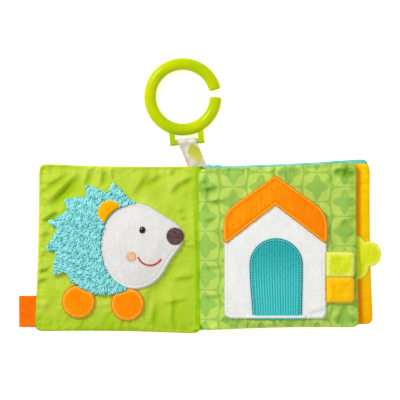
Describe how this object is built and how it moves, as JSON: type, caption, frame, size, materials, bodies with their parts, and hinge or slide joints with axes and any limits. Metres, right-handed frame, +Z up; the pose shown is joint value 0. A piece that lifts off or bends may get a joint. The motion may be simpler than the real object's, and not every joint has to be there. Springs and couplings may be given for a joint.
{
  "type": "soft book",
  "caption": "Padded cloth picture book for a baby, lying open, with quilted leaves, sewn-on shapes, plush tabs and an open clip ring on a ribbon loop.",
  "frame": {"origin": "on the table, under the middle of the sewn spine", "axes": "+X across the right-hand pages, +Y to the head of the book, +Z up from the table"},
  "size_m": [0.2875, 0.2176, 0.0218],
  "materials": {
    "lime_cotton": "woven cotton",
    "green_print": "printed cotton",
    "yellow_cotton": "woven cotton",
    "turquoise_cotton": "woven cotton",
    "spine_cloth": "woven cotton",
    "turquoise_terry": "looped terry",
    "white_velour": "velour",
    "yellow_velour": "velour",
    "brown_thread": "satin stitch",
    "black_thread": "satin stitch",
    "peach_thread": "satin stitch",
    "red_thread": "stem stitch",
    "orange_velour": "velour",
    "orange_ribbon": "woven ribbon",
    "turquoise_cord": "corduroy",
    "lime_plush": "short plush",
    "yellow_plush": "short plush",
    "lime_velour": "velour",
    "white_satin": "satin ribbon",
    "lime_plastic": "glossy moulded"
  },
  "bodies": {
    "pages": {"house_page": "green_print", "yellow_page": "yellow_cotton", "spine_strip": "spine_cloth", "house_wall": "white_velour", "house_roof": "orange_velour", "house_door": "turquoise_cord", "lime_tab": "lime_plush", "yellow_tab": "yellow_plush", "page_marker": "lime_velour", "ribbon": "white_satin"},
    "front_cover": {"front_cover": "lime_cotton", "hedgehog_body": "turquoise_terry", "hedgehog_face": "white_velour", "hedgehog_ear": "yellow_velour", "hedgehog_nose": "brown_thread", "hedgehog_eye": "black_thread", "hedgehog_cheek": "peach_thread", "hedgehog_mouth": "red_thread", "left_foot": "orange_velour", "right_foot": "orange_velour", "side_label": "orange_ribbon"},
    "back_cover": {"back_cover": "turquoise_cotton"},
    "clip_ring": {"clip_ring": "lime_plastic"}
  },
  "joints": [
    {"name": "front_cover_hinge", "type": "hinge", "parent": "pages", "child": "front_cover", "pos_m": [0, 0, 0.0146], "axis": [0, 1, 0], "range_deg": [0, 173]},
    {"name": "back_cover_hinge", "type": "hinge", "parent": "pages", "child": "back_cover", "pos_m": [0, 0, 0], "axis": [0, 1, 0], "range_deg": [0, 175]},
    {"name": "ring_swing", "type": "hinge", "parent": "pages", "child": "clip_ring", "pos_m": [-0.01104, 0.08514, 0.0049], "axis": [0.9954, 0.0958, 0], "range_deg": [0, 105]}
  ]
}
